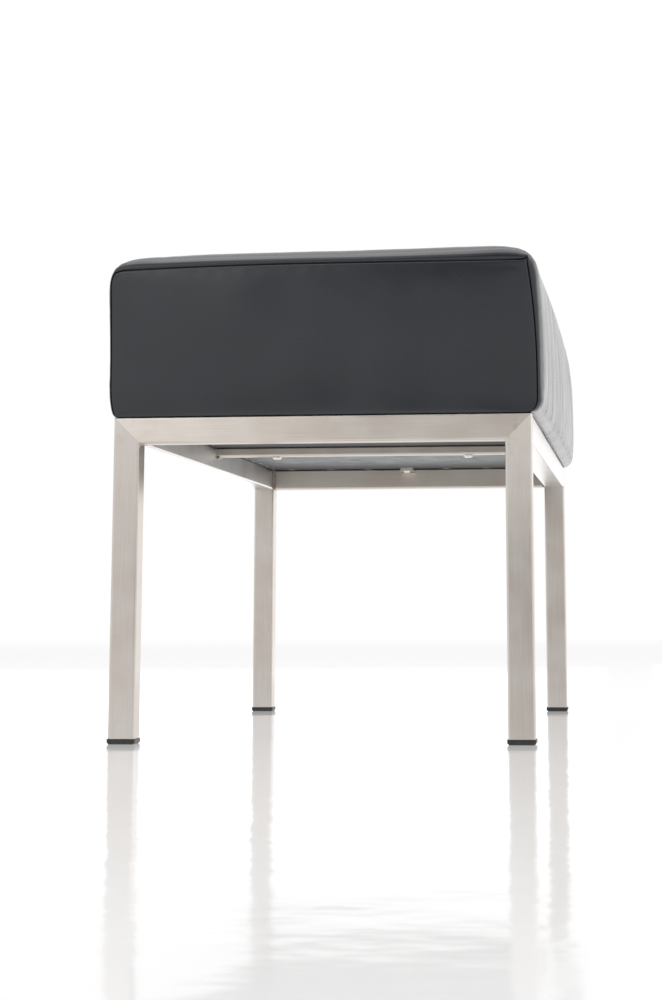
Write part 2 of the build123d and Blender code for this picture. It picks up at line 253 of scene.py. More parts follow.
def birchPlywood():
    # bare rotary-cut birch face: long pale grain along the bench
    material, tree, place = newMaterial("bareBirchPlywood")
    drawn = addNode(tree, "Mapping", values={"Scale": (1000 / 220, 1000 / 9, 1000 / 3)},
                    links={"Vector": place})
    grain = addNode(tree, "TexNoise", values={"Scale": 1.0, "Detail": 5.0, "Distortion": 0.6},
                    links={"Vector": drawn})
    tone = addNode(tree, "ValToRGB", links={"Fac": grain},
                   stops=((0.3, "#b08c61"), (0.5, "#cba97c"), (0.7, "#dcc09a")))
    shader = addNode(tree, "BsdfPrincipled", values={"Roughness": 0.6}, links={"Base Color": tone})
    return finishMaterial(material, shader)


def openCellFoam():
    # flexible polyurethane foam: cream, with cells of about 1 mm
    material, tree, place = newMaterial("openCellPolyurethaneFoam")
    cells = addNode(tree, "TexVoronoi", values={"Scale": 1000 / 1.2}, links={"Vector": place})
    tone = addNode(tree, "ValToRGB", links={"Fac": cells}, stops=((0.0, "#b9ae86"), (0.5, "#e6dfc2")))
    relief = addNode(tree, "Bump", values={"Strength": 0.8, "Distance": 0.4 * mm}, links={"Height": cells})
    shader = addNode(tree, "BsdfPrincipled", values={"Roughness": 0.95},
                     links={"Base Color": tone, "Normal": relief})
    return finishMaterial(material, shader)


nodeMaterials = {
    "end_rail_left": tubeAlongY, "end_rail_right": tubeAlongY, "cross_bar": tubeAlongY,
    "side_rail_front": tubeAlongX, "side_rail_rear": tubeAlongX,
    "seat_tab_left": tabSteel, "seat_tab_right": tabSteel, "frame_welds": weldSteel,
    "cross_bar_screws": screwSteel, "tab_screws": screwSteel,
    "dust_cover": spunbondCloth(), "seat_board": birchPlywood(), "foam_core": openCellFoam(),
}
capPlastic = mouldedCap()
for side in ("left", "right"):
    for end in ("front", "rear"):
        nodeMaterials[f"leg_{side}_{end}"] = tubeUpright
        nodeMaterials[f"foot_cap_{side}_{end}"] = capPlastic
for nodeName, material in nodeMaterials.items():
    for slot in nodes[nodeName].material_slots:
        slot.material = material
print("CAD nodes dressed:", len(nodeMaterials))


leatherLook = {
    "dark": "#14181f",
    "light": "#191e25",
    "grain": 1.3,  # embossed leather grain, real size 0.8 to 1.5 mm
    "mottle": 60.0,
    "roughness": 0.26,
}


def leatherette():
    # polyurethane-coated fabric with an embossed calf grain: satin, near black when faced
    # squarely and mirror-pale at a glance, because of its clear top coat
    s = leatherLook
    material, tree, place = newMaterial("embossedSatinLeatherette")
    wobble = addNode(tree, "TexNoise", values={"Scale": 1000 / 6, "Detail": 2.0}, links={"Vector": place})
    bent = addNode(tree, "VectorMath", {"operation": "MULTIPLY_ADD"}, {1: (1.2 * mm,) * 3},
                   {0: wobble.outputs["Color"], 2: place})
    cells = addNode(tree, "TexVoronoi", {"feature": "DISTANCE_TO_EDGE"},
                    {"Scale": 1000 / s["grain"]}, {"Vector": bent})
    pebbles = addNode(tree, "MapRange", {"interpolation_type": "SMOOTHSTEP"}, spans(0.0, 0.22),
                      {"Value": cells})
    pores = addNode(tree, "TexNoise", values={"Scale": 1000 / 0.5, "Detail": 2.0}, links={"Vector": place})
    height = addNode(tree, "Math", {"operation": "MULTIPLY_ADD"}, {1: 0.35}, {0: pores, 2: pebbles})
    mottle = addNode(tree, "TexNoise", values={"Scale": 1000 / s["mottle"], "Detail": 4.0},
                     links={"Vector": place})
    tone = addNode(tree, "ValToRGB", links={"Fac": mottle},
                   stops=((0.3, s["dark"]), (0.7, s["light"])))
    gloss = addNode(tree, "MapRange", values=spans(0.3, 0.7, s["roughness"] - 0.03, s["roughness"] + 0.04),
                    links={"Value": mottle})
    relief = addNode(tree, "Bump", values={"Strength": 0.2, "Distance": 0.03 * mm}, links={"Height": height})
    shader = addNode(tree, "BsdfPrincipled", values={"IOR": 1.57},
                     links={"Base Color": tone, "Roughness": gloss, "Normal": relief})
    return finishMaterial(material, shader)


def polyesterThread():
    # bonded polyester sewing thread, twisted from three strands, a shade darker than the cover
    material, tree, place = newMaterial("bondedPolyesterThread")
    twist = addNode(tree, "TexNoise", values={"Scale": 1000 / 0.6, "Detail": 1.0}, links={"Vector": place})
    tone = addNode(tree, "ValToRGB", links={"Fac": twist}, stops=((0.4, "#17191b"), (0.6, "#2c3033")))
    relief = addNode(tree, "Bump", values={"Strength": 0.6, "Distance": 0.1 * mm}, links={"Height": twist})
    shader = addNode(tree, "BsdfPrincipled", values={"Roughness": 0.5, "Sheen Weight": 0.15},
                     links={"Base Color": tone, "Normal": relief})
    return finishMaterial(material, shader)


def seamShadeBlack():
    # near-black matt strip deep in the end seams' groove: painted shade, it leaves the dark line of the
    # groove's shade
    material, tree, place = newMaterial("seamShadeBlackStrip")
    strands = addNode(tree, "TexNoise", values={"Scale": 1000 / 1.2, "Detail": 1.0},
                      links={"Vector": place})
    tone = addNode(tree, "ValToRGB", links={"Fac": strands}, stops=((0.4, "#060606"), (0.6, "#0c0c0d")))
    shader = addNode(tree, "BsdfPrincipled", values={"Roughness": 0.9, "IOR": 1.3},
                     links={"Base Color": tone})
    return finishMaterial(material, shader)


cushion = {
    "halfLength": 400.0,  # end seams, from the middle
    "base": 305.6,  # its flat underside
    # half outlines: the hand-filled front edge stands a little higher and rounder than the rear one
    "body": {
        "front": {"belly": 211.6, "tuckIn": 10.0, "tuckUp": 15.0, "lean": 7.0, "leanFrom": 50.0,
                  "top": 162.0, "rollAcross": 46.0, "rollDown": 38.0, "power": 2.5},
        "rear": {"belly": 207.4, "tuckIn": 6.5, "tuckUp": 34.0, "lean": -4.4, "leanFrom": 10.0,
                 "top": 157.0, "rollAcross": 50.0, "rollDown": 37.0, "power": 3.4},
        "middle": 159.2, "softness": 2.0,
    },
    "seam": {
        "front": {"belly": 206.1, "tuckIn": 9.6, "tuckUp": 13.0, "lean": 8.6, "leanFrom": 35.0,
                  "top": 145.6, "rollAcross": 4.0, "rollDown": 4.0, "power": 2.4},
        "rear": {"belly": 204.2, "tuckIn": 6.0, "tuckUp": 30.0, "lean": -2.6, "leanFrom": 20.0,
                 "top": 142.0, "rollAcross": 18.0, "rollDown": 17.0, "power": 2.9},
        "middle": 145.6, "softness": 0.7,
    },
    "ears": ((-0.9, 3.2), (0.3, 1.0)), "earReach": 1.9,  # small points at the seams' top corners
    # how far the cover draws in at the sewn top corners, front and rear (less than 0 is outwards),
    # and how far that runs around the outline and along the seat
    "cornerPinch": (-2.4, 0.4), "pinchAround": 16.0, "pinchInward": 28.0,
    "round": 30.0, "sideRound": 17.0,  # from the end seams to the full outline, at the top and sides
    "roundPath": 36.0,  # length of cover over that rounding
    "roundPower": 2.7, "sidePower": 2.2,  # 2 is an ellipse, more is steeper beside the seam
    "sideSwell": 2.6, "topSwell": 1.0,
    "tuckFade": 14.0,  # channels and folds fade in over this height
    "channels": 9, "pitch": 80.0,
    "channelTop": 2.4, "channelSide": 0.4, "channelReach": 7.0,
    "stitchGroove": 0.5, "grooveReach": 0.9,
    "seamDepth": 1.7, "seamReach": 0.9, "panelReach": 0.6, "seamFade": 3.0,  # groove of the end seams
    "allowance": 8.2, "allowanceEdge": 1.1,  # the folded seam allowance under the cover reaches this far
    "ridge": 0.45, "ridgeStart": 2.5,  # and lifts it by this much
    "dome": 2.4,  # how far the end panels stand out
    # soft folds: length of one, height, where they are highest, how far they run from there, and how
    # much shorter the pattern counts in its second direction, which draws the folds out
    "gathers": (12.0, 0.12, 4.0, 6.0, 0.15),  # out from each stitched line
    "seamGathers": (13.0, 0.1, 10.0, 9.0, 0.2),  # out from the end seams
    "creases": (17.0, 0.1, 128.0, 13.0, 0.12),  # under the roll of the long sides
    "pulls": (24.0, 0.12, 24.0, 26.0, 0.03), "pullSlant": (0.9, 0.012),  # along their lower edges
    "panelGathers": (14.0, 0.04, 7.0, 6.0, 1.0),  # along the edges of the end panels
    "unevenness": (90.0, 0.15), "panelUnevenness": (90.0, 0.2),  # length and height of slow swells
    "bunch": {"length": 7.5, "height": 0.4, "around": 11.0, "inward": 16.0},  # at the seams' top corners
    # mesh: spacing in general, nearest to the end seams, widest beside them, and beside each channel
    "fine": (3.4, 0.45, 1.2, 0.5), "coarse": (8.0, 5.0, 6.0, 8.0),
    "finest": 0.35, "sidePath": 155.0, "topPath": 400.0,  # spacing at a corner, lengths of side and top
    "coarseSide": 20, "coarseTop": 51,  # places up a side and over the top in the cloth trial
    "cap": 2.0,  # farthest that the cloth may move a point
    "panelGive": 0.3,  # share of that movement which the tight end panels take
    "panelSize": (400.0, 150.0), "giveReach": 14.0,  # they take all of it at their seams, over this reach
}


def steps(length, finest, widest, growth=1.35):
    # places from 0 to length that start finest apart, grow by a fixed ratio and stay under widest
    places = [0.0]
    step = finest
    while places[-1] < length:
        places.append(places[-1] + step)
        step = min(step * growth, widest)
    return np.array(places) * length / places[-1]


def bothWays(length, finest, widest):  # the same, fine at both ends
    half = steps(length / 2, finest, widest)
    return np.concatenate((half, length - half[-2::-1]))


def lengthAlong(points):  # of a line, at each of its points
    return np.concatenate(([0], np.cumsum(np.linalg.norm(np.diff(points, axis=0), axis=1))))


def pointsAt(points, along, places):  # points of a line at other lengths along it
    return np.stack([np.interp(places, along, column) for column in points.T], axis=1)


def unit(rows):  # each row at length 1
    return rows / np.linalg.norm(rows, axis=1)[:, None]


def bell(value, middle, reach):  # 1 at the middle, exp(-(distance / reach)^2) away from it
    return np.exp(-((value - middle) / reach) ** 2)


def softened(points, reach):
    # each point becomes the average of its neighbours weighted by a bell curve of that reach
    spacing = np.linalg.norm(np.diff(points, axis=0), axis=1).mean()
    count = int(3 * reach / spacing)
    weights = np.exp(-0.5 * (np.arange(-count, count + 1) * spacing / reach) ** 2)
    weights /= weights.sum()
    before = 2 * points[0] - points[count:0:-1]
    after = points[-2:-count - 2:-1] * (-1, 1)  # the outline goes on past the middle as its mirror
    padded = np.concatenate((before, points, after))
    return np.stack([np.convolve(padded[:, k], weights, "valid") for k in (0, 1)], axis=1)


def halfOutline(s, middle, softness):
    # from the lower edge a quarter ellipse, tuckIn across and tuckUp high, a side that leans in by a
    # square law, then (across / rollAcross)^power + (up / rollDown)^power = 1 over the roll, and a
    # parabola to the middle. The line is then softened and given points an equal distance apart
    up = np.linspace(0, 1, 600) ** 2 * (s["top"] - s["rollDown"])
    out = s["belly"] - s["tuckIn"] * (1 - np.sqrt(1 - np.clip(1 - up / s["tuckUp"], 0, 1) ** 2))
    out -= s["lean"] * (np.clip(up - s["leanFrom"], 0, None) / (s["top"] - s["leanFrom"])) ** 2
    side = np.stack((out, up), axis=1)
    turn = np.linspace(0, np.pi / 2, 400)[1:]
    edge = out[-1] - s["rollAcross"]
    roll = np.stack((edge + s["rollAcross"] * np.cos(turn) ** (2 / s["power"]),
                     s["top"] - s["rollDown"] * (1 - np.sin(turn) ** (2 / s["power"]))), axis=1)
    flat = np.linspace(edge, 0, 300)[1:]
    crown = np.stack((flat, middle + (s["top"] - middle) * (flat / edge) ** 2), axis=1)
    line = np.concatenate((side, roll, crown))
    along = lengthAlong(line)
    line = softened(pointsAt(line, along, np.linspace(0, along[-1], 4000)), softness)
    corner = np.argmax((line[:, 0] - edge) / s["rollAcross"] + line[:, 1] / s["rollDown"])
    return line, corner


def fullOutline(outline, sideShares, topShares):
    # samples both half outlines by shares of their length: up the front side, over the top, down the rear
    def sampled(points, shares):
        along = lengthAlong(points)
        return pointsAt(points, along, shares * along[-1])

    front, frontCorner = halfOutline(outline["front"], outline["middle"], outline["softness"])
    rear, rearCorner = halfOutline(outline["rear"], outline["middle"], outline["softness"])
    front = front * (-1, 1)
    over = sampled(np.concatenate((front[frontCorner:], rear[-2:rearCorner - 1:-1])), topShares)
    return np.concatenate((sampled(front[:frontCorner + 1], sideShares), over[1:-1],
                           sampled(rear[:rearCorner + 1], sideShares)[::-1]))


rng = np.random.default_rng(11)


def waves(a, b, length, count=10, spread=0.35):
    # smooth irregular field between about -1 and 1: a sum of cosines whose lengths lie around one value
    total = np.zeros(np.broadcast(a, b).shape)
    for k in range(count):
        angle = rng.uniform(0, np.pi)
        size = 2 * np.pi / (length * rng.uniform(1 - spread, 1 + spread))
        total += np.cos(size * (np.cos(angle) * a + np.sin(angle) * b) + rng.uniform(0, 2 * np.pi))
    return total / np.sqrt(count)


def folds(kind, a, b, distance):  # height * waves, drawn out along b, * bell curve of the distance
    length, height, middle, reach, drawn = cushion[kind]
    return height * waves(a, b * drawn, length) * bell(distance, middle, reach)


def coverRise(x, outline, corners, sideways, full, toChannel, fade, topShare):
    # how far the main panel stands out from its smooth form: each fold is added, each groove taken off
    c = cushion
    along = lengthAlong(outline)[None, :]
    height = outline[:, 1][None, :]
    toSeam = c["halfLength"] - np.abs(x)
    rise = -c["stitchGroove"] * fade * bell(toChannel, 0, c["grooveReach"])
    rise = rise + folds("gathers", along, x, toChannel) * fade * (0.15 + topShare)
    rise = rise + folds("seamGathers", along, x, toSeam) * fade * full
    # the cover bunches where the end seams turn their top corners
    bunch = c["bunch"]
    for corner, pinch in zip(corners, c["cornerPinch"]):
        away = np.abs(along - along[0, corner])
        pleats = bunch["height"] * np.cos(2 * np.pi * away / bunch["length"])
        pleats = pleats * bell(away, 0, bunch["around"]) * bell(toSeam, 0, bunch["inward"])
        drawn = pinch * bell(away, 0, c["pinchAround"]) * bell(toSeam, 0, c["pinchInward"])
        rise = rise - (pleats + drawn) * full
    # short creases under the roll of the long sides, and slanting pulls along their lower edges
    lean, bend = c["pullSlant"]
    crease = folds("creases", x, height, height)
    pull = folds("pulls", x + lean * height + bend * height ** 2, x, height)
    rise = rise + (crease + pull) * sideways * fade * full
    length, amount = c["unevenness"]
    rise = rise + amount * waves(x, along, length) * fade * full
    path = seamDistance(x)
    step = 0.5 - 0.5 * np.tanh((path - c["allowance"]) / c["allowanceEdge"])
    return rise + c["ridge"] * step * (1 - bell(path, 0, c["ridgeStart"])) * topShare


def cushionForm(stations, sideShares, topShares, detail):
    # main panel = seam outline + (body outline - seam outline) * fullness, moved along its normal by
    # the swell of the middle, less the sewn channels. Each end panel fills its seam and domes out by
    # dome * (1 - u^4) * (1 - v^4). detail adds the sewn grooves and the folds
    c = cushion
    bodyLine = fullOutline(c["body"], sideShares, topShares)
    seamLine = fullOutline(c["seam"], sideShares, topShares)
    sideCount, topCount = len(sideShares), len(topShares)
    corners = (sideCount - 1, -sideCount)  # where the outline turns from the sides to the top
    if detail:
        for corner, ear in zip(corners, c["ears"]):
            away = np.linalg.norm(seamLine - seamLine[corner], axis=1)[:, None]
            seamLine = seamLine + np.exp(-(away / c["earReach"]) ** 1.5) * np.array(ear)
    x = stations[:, None]
    run = unit(np.gradient(bodyLine, axis=0))
    normal = np.stack((-run[:, 1], run[:, 0]), axis=1)
    sideways, upwards = normal[:, 0] ** 2, normal[:, 1] ** 2
    # fullness is a superellipse of the distance from the end seam, shorter at the sides than over the top
    reach = c["round"] + (c["sideRound"] - c["round"]) * sideways
    inside = np.clip(1 - (c["halfLength"] - np.abs(x)) / reach, 0, 1)
    power = c["roundPower"] + (c["sidePower"] - c["roundPower"]) * sideways
    full = (1 - inside ** power) ** (1 / power)
    swell = (1 - (x / c["halfLength"]) ** 2) * full
    low = np.clip(bodyLine[:, 1] / c["tuckFade"], 0, 1)
    fade = low ** 2 * (3 - 2 * low)
    # sewn channels across the seat and down both sides
    halfPitch = c["pitch"] / 2
    toChannel = np.abs((x + c["halfLength"] + halfPitch) % c["pitch"] - halfPitch)
    toChannel = np.where(np.abs(x) > c["halfLength"] - halfPitch, halfPitch, toChannel)
    topShare = np.clip(normal[:, 1], 0, 1) ** 1.5
    depth = (c["channelSide"] + (c["channelTop"] - c["channelSide"]) * topShare) * fade
    rise = (c["sideSwell"] * sideways + c["topSwell"] * upwards) * swell
    rise = rise - depth * np.exp(-(toChannel / c["channelReach"]) ** 1.15)
    sunk = 0.0
    if detail:
        rise = rise + coverRise(x, bodyLine, corners, sideways, full, toChannel, fade, topShare)
        sunk = c["seamDepth"] * np.exp(-(seamDistance(x) / c["seamReach"]) ** 1.4)
        sunk = sunk * np.clip(bodyLine[:, 1] / c["seamFade"], 0, 1)
    line = seamLine[None] + (bodyLine - seamLine)[None] * full[..., None] + normal[None] * rise[..., None]
    main = np.broadcast_arrays(x - np.sign(x) * sunk, line[..., 0], line[..., 1] + c["base"])
    # end panel: a Coons patch between its four edges
    front, rear = seamLine[:sideCount], seamLine[::-1][:sideCount]
    over = seamLine[sideCount - 1:sideCount - 1 + topCount]
    u = topShares[:, None, None]
    v = sideShares[None, :, None]
    under = np.stack((np.interp(topShares, (0, 1), (front[0, 0], rear[0, 0])), np.zeros(topCount)), axis=1)
    patch = (1 - u) * front[None] + u * rear[None] + (1 - v) * under[:, None] + v * over[:, None]
    patch -= (1 - u) * (1 - v) * front[0] + u * (1 - v) * rear[0] \
        + (1 - u) * v * front[-1] + u * v * rear[-1]
    across, up = patch[..., 0], patch[..., 1]
    u, v = u[..., 0] * 2 - 1, v[..., 0] * 2 - 1
    dome = (1 - np.abs(u) ** 4) * (1 - np.abs(v) ** 4)
    edges = front[None], rear[None], over[:, None]
    toEdge = np.minimum.reduce([np.linalg.norm(patch - edge, axis=2) for edge in edges])
    groove = c["seamDepth"] * np.exp(-(toEdge / c["panelReach"]) ** 1.4) * np.clip(up / c["seamFade"], 0, 1)
    panels = []
    for end in (-1, 1):
        out = c["dome"] * dome
        if detail:
            length, amount = c["panelUnevenness"]
            out = out + amount * waves(across, up, length) * dome
            fade = np.clip(up / c["tuckFade"], 0, 1)
            out = out + folds("panelGathers", across, up, toEdge) * fade - groove
        panels.append(np.stack((end * (c["halfLength"] + out), across, up + c["base"]), axis=2))
    return np.stack(main, axis=2), panels


def seamDistance(stations):  # how far along the cover each station lies from the nearer end seam
    c = cushion
    inside = c["halfLength"] - np.abs(stations)
    turn = np.arccos(np.clip(1 - inside / c["round"], 0, 1) ** (c["roundPower"] / 2))
    return np.where(inside < c["round"], turn / (np.pi / 2) * c["roundPath"],
                    inside + c["roundPath"] - c["round"])


def gridQuads(index):  # four corners of each cell of a grid of point numbers
    return np.stack((index[:-1, :-1], index[1:, :-1], index[1:, 1:], index[:-1, 1:]), axis=2).reshape(-1, 4)


def cushionMesh(name, main, panels, material):
    # joins the main panel's grid and both end grids along the seams, and closes the flat underside
    stationCount, lineCount = main.shape[:2]
    topCount, sideCount = panels[0].shape[:2]
    points = [main.reshape(-1, 3)]
    grid = np.arange(stationCount * lineCount).reshape(stationCount, lineCount)
    quads = [gridQuads(grid)]
    total = grid.size
    ends = []
    for station, panel, flip in ((0, panels[0], True), (-1, panels[1], False)):
        seam = grid[station]
        own = np.zeros((topCount, sideCount), dtype=int)
        own[0], own[-1] = seam[:sideCount], seam[::-1][:sideCount]
        own[:, -1] = seam[sideCount - 1:sideCount - 1 + topCount]
        inner = panel[1:-1, :-1]
        count = inner[..., 0].size
        own[1:-1, :-1] = total + np.arange(count).reshape(inner.shape[:2])
        total += count
        points.append(inner.reshape(-1, 3))
        faces = gridQuads(own)
        quads.append(faces[:, ::-1] if flip else faces)
        ends.append(own)
    loop = np.concatenate((grid[:, 0], ends[1][1:-1, 0], grid[::-1, -1], ends[0][-2:0:-1, 0]))
    faces = np.concatenate(quads).tolist() + [loop[::-1].tolist()]
    piece = meshPiece(name, np.concatenate(points), faces, material)
    piece.data.polygons[len(faces) - 1].use_smooth = False
    return piece, grid, ends


def stationPlaces(spacing):
    # places along the seat, at their closest near the end seams and beside each channel
    c = cushion
    general, nearSeam, widest, besideChannel = spacing
    path = steps(c["roundPath"], nearSeam, widest)
    angle = np.pi / 2 * path / c["roundPath"]
    left = -c["halfLength"] + c["round"] * (1 - np.cos(angle) ** (2 / c["roundPower"]))
    places = [left]
    for channel in range(c["channels"] + 1):
        inner = bothWays(c["pitch"], besideChannel, general) + channel * c["pitch"] - c["halfLength"]
        places.append(inner[(inner > left[-1] + general / 2) & (inner < -left[-1] - general / 2)])
    places.append(-left[::-1])
    return np.unique(np.round(np.concatenate(places), 4))


def cubicWeights(places, count):
    # row of weights that reads a smooth value between the samples of a list (Catmull-Rom spline)
    base = np.clip(np.floor(places).astype(int), 0, count - 2)
    part = places - base
    table = np.zeros((len(places), count))
    taps = (-0.5 * part + part ** 2 - 0.5 * part ** 3, 1 - 2.5 * part ** 2 + 1.5 * part ** 3,
            0.5 * part + 2 * part ** 2 - 1.5 * part ** 3, -0.5 * part ** 2 + 0.5 * part ** 3)
    for shift, tap in zip((-1, 0, 1, 2), taps):
        np.add.at(table, (np.arange(len(places)), np.clip(base + shift, 0, count - 1)), tap)
    return table


clothTrial = {
    "frames": 20,
    "quality": 6,
    "mass": 0.5,
    "tension_stiffness": 18,
    "compression_stiffness": 18,
    "bending_stiffness": 8,
    "uniform_pressure_force": 4,
}


def clothSwell(main, panels, stations):
    # the coarse cover is blown up as cloth against its sewn lines, and its movement is read back
    trial, grid, ends = cushionMesh("coverTrial", main, panels, cushionLeather)
    c = cushion
    onChannel = np.abs((stations + c["halfLength"]) % c["pitch"]) < 0.01
    held = set(grid[onChannel].ravel()) | set(grid[:, 0]) | set(grid[:, -1])
    for own in ends:
        held |= set(own[:, 0])
    sewn = trial.vertex_groups.new(name="sewn")
    sewn.add([int(i) for i in held], 1.0, "REPLACE")
    modifier = trial.modifiers.new("cover", "CLOTH")
    frames = clothTrial["frames"]
    for name, value in clothTrial.items():
        if name != "frames":
            setattr(modifier.settings, name, value)
    modifier.settings.use_pressure = True
    modifier.settings.vertex_group_mass = "sewn"
    modifier.settings.effector_weights.gravity = 0
    modifier.point_cache.frame_end = frames
    for number in range(1, frames + 1):
        scene.frame_set(number)
    shaped = trial.evaluated_get(bpy.context.evaluated_depsgraph_get())
    after = np.empty(len(trial.data.vertices) * 3)
    shaped.data.vertices.foreach_get("co", after)
    before = np.empty_like(after)
    trial.data.vertices.foreach_get("co", before)
    moved = (after - before).reshape(-1, 3) / mm
    far = np.linalg.norm(moved, axis=1, keepdims=True)
    print(f"cloth: moved up to {far.max():.2f} mm, mean {far.mean():.2f} mm")
    scene.frame_set(1)
    bpy.data.objects.remove(trial)
    moved *= np.minimum(1, c["cap"] / np.maximum(far, 1e-6))
    return moved[grid], [moved[own] for own in ends]


def aroundShares(side, top):  # 0 to 1 up the front side, 1 to 2 over the top, 2 to 3 down the rear side
    return np.concatenate((side, 1 + top[1:-1], 3 - side[::-1]))


cushionLeather = leatherette()
stations = stationPlaces(cushion["fine"])
general, finest = cushion["fine"][0], cushion["finest"]
sideShares = 1 - steps(1, finest / cushion["sidePath"], general / cushion["sidePath"])[::-1]
topShares = bothWays(1, finest / cushion["topPath"], general / cushion["topPath"])
main, panels = cushionForm(stations, sideShares, topShares, True)
coarseStations = stationPlaces(cushion["coarse"])
coarseSide, coarseTop = (np.linspace(0, 1, cushion[count]) for count in ("coarseSide", "coarseTop"))
coarseForm = cushionForm(coarseStations, coarseSide, coarseTop, False)
mainMove, panelMoves = clothSwell(*coarseForm, coarseStations)
places = np.interp(stations, coarseStations, np.arange(len(coarseStations)))
alongX = cubicWeights(places, len(coarseStations))
coarseSteps = aroundShares(coarseSide, coarseTop)
places = np.interp(aroundShares(sideShares, topShares), coarseSteps, np.arange(len(coarseSteps)))
main = main + np.einsum("ij,jkc,lk->ilc", alongX, mainMove, cubicWeights(places, len(coarseSteps)))
acrossPanel = cubicWeights(topShares * (len(coarseTop) - 1), len(coarseTop))
upPanel = cubicWeights(sideShares * (len(coarseSide) - 1), len(coarseSide))
# the tight end panels take only a share of the movement, all of it at their seams
panelLength, panelHeight = cushion["panelSize"]
fromSeam = np.minimum(np.minimum(topShares, 1 - topShares)[:, None] * panelLength,
                      (1 - sideShares)[None, :] * panelHeight)
give = cushion["panelGive"] + (1 - cushion["panelGive"]) * bell(fromSeam, 0, cushion["giveReach"])
panels = [panel + give[..., None] * np.einsum("ij,jkc,lk->ilc", acrossPanel, move, upPanel)
          for panel, move in zip(panels, panelMoves)]
seatCushion = cushionMesh("seatCushion", main, panels, cushionLeather)[0]
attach(seatCushion, "root")
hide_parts("cover_main_panel", "cover_end_panel_left", "cover_end_panel_right")
print("cushion made:", len(seatCushion.data.polygons), "faces")


# pitch from stitch to stitch, proud as a share of the radius, clear of both lower edges
stitches = {"length": 4.2, "pitch": 5.6, "radius": 0.32, "proud": 0.6, "clear": 14.0}
hexagon = np.arange(6) * np.pi / 3  # thread and wire are six-sided, finer than the render can show


def capsules(centres, runs, ups, halfLength, radius, flat=1.0):
    # rounded bars: a hexagon carried along each run through six places, thinner towards the ends
    places = np.array((-1.0, -0.86, -0.5, 0.5, 0.86, 1.0))
    widths = np.array((0.12, 0.7, 1.0, 1.0, 0.7, 0.12))
    sides = np.cross(runs, ups)
    ring = np.cos(hexagon)[None, None, :, None] * sides[:, None, None] \
        + flat * np.sin(hexagon)[None, None, :, None] * ups[:, None, None]
    rods = centres[:, None, None] + places[None, :, None, None] * halfLength * runs[:, None, None] \
        + radius * widths[None, :, None, None] * ring
    count, rings, around = rods.shape[:3]
    index = np.arange(count * rings * around).reshape(count, rings, around)
    nxt = np.roll(index, -1, axis=2)
    quads = np.stack((index[:, :-1], index[:, 1:], nxt[:, 1:], nxt[:, :-1]), axis=3).reshape(-1, 4)
    caps = index[:, 0].tolist() + index[:, -1, ::-1].tolist()
    return rods.reshape(-1, 3), quads.tolist() + caps


def channelStitches():
    # capsules at equal steps along each channel: centre = groove line + proud * radius along its normal
    s = stitches
    centres, runs, ups = [], [], []
    for channel in range(1, cushion["channels"] + 1):
        station = channel * cushion["pitch"] - cushion["halfLength"]
        line = main[np.argmin(np.abs(stations - station))]
        along = lengthAlong(line)
        places = np.arange(s["clear"], along[-1] - s["clear"], s["pitch"])
        middle = pointsAt(line, along, places)
        run = unit(pointsAt(line, along, places + 1) - middle)
        up = unit(np.cross((1.0, 0.0, 0.0), run))
        centres.append(middle + up * s["radius"] * s["proud"])
        runs.append(run)
        ups.append(up)
    return capsules(*map(np.concatenate, (centres, runs, ups)), s["length"] / 2, s["radius"])


# the black strip that paints the seam groove's shade lies this far out from the seam and in towards the
# panel's middle, clear of the lower edge
grooveShade = {"radius": 0.55, "out": 0.9, "inward": 0.35, "clear": 3.0}


def grooveShadeMesh():
    # a hexagon carried along each end seam, a matt black strip bedded in its groove that paints the groove's
    # shade:
    # centre = seam + out along the bench + inward towards the middle of the end panel
    k = grooveShade
    points, faces, total = [], [], 0
    for end, line in ((-1, main[0]), (1, main[-1])):
        line = line[line[:, 2] > cushion["base"] + k["clear"]]
        run = np.gradient(line, axis=0)
        run[:, 0] = 0
        run = unit(run)
        along = np.array((1.0, 0.0, 0.0)) * end
        inward = np.cross(run, (1.0, 0.0, 0.0))  # the line runs up the front and down the rear
        centre = line + along * k["out"] + inward * k["inward"]
        ring = np.cos(hexagon)[None, :, None] * along + np.sin(hexagon)[None, :, None] * inward[:, None]
        points.append((centre[:, None] + k["radius"] * ring).reshape(-1, 3))
        index = np.arange(ring[..., 0].size).reshape(len(line), -1) + total
        total += index.size
        after = np.roll(index, -1, axis=1)
        quads = np.stack((index[:-1], index[1:], after[1:], after[:-1]), axis=2).reshape(-1, 4)
        loops = quads.tolist() + [index[0].tolist(), index[-1, ::-1].tolist()]
        faces += [loop[::-1] for loop in loops] if end > 0 else loops
    return np.concatenate(points), faces


# painted shade: a matt black strip laid in the end seams' grooves for their dark line
seamShadeStrip = meshPiece("seamShadeStrip", *grooveShadeMesh(), seamShadeBlack())
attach(seamShadeStrip, "root")
seatStitches = meshPiece("seatStitches", *channelStitches(), polyesterThread())
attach(seatStitches, "root")
print("stitches made:", len(seatStitches.data.polygons), "faces")


staples = {
    "halfLength": 400.0, "halfDepth": 200.0, "level": 305.0,  # the frame's outer size and its top
    "inset": 28.5,  # from the frame's outer faces, just inside its rails
    "cornerX": 22.0, "cornerY": 20.0,  # first staple of a row, from the corner
    "pitch": 47.0,
    "barClear": 16.0,  # none where the cross bar and the tabs are
    "crown": 10.0, "thickness": 0.55, "flat": 0.55, "drop": 0.6,  # centre below the cloth
    "wander": 1.2, "tilt": 0.16,  # hand-fired, so a little out of line
}


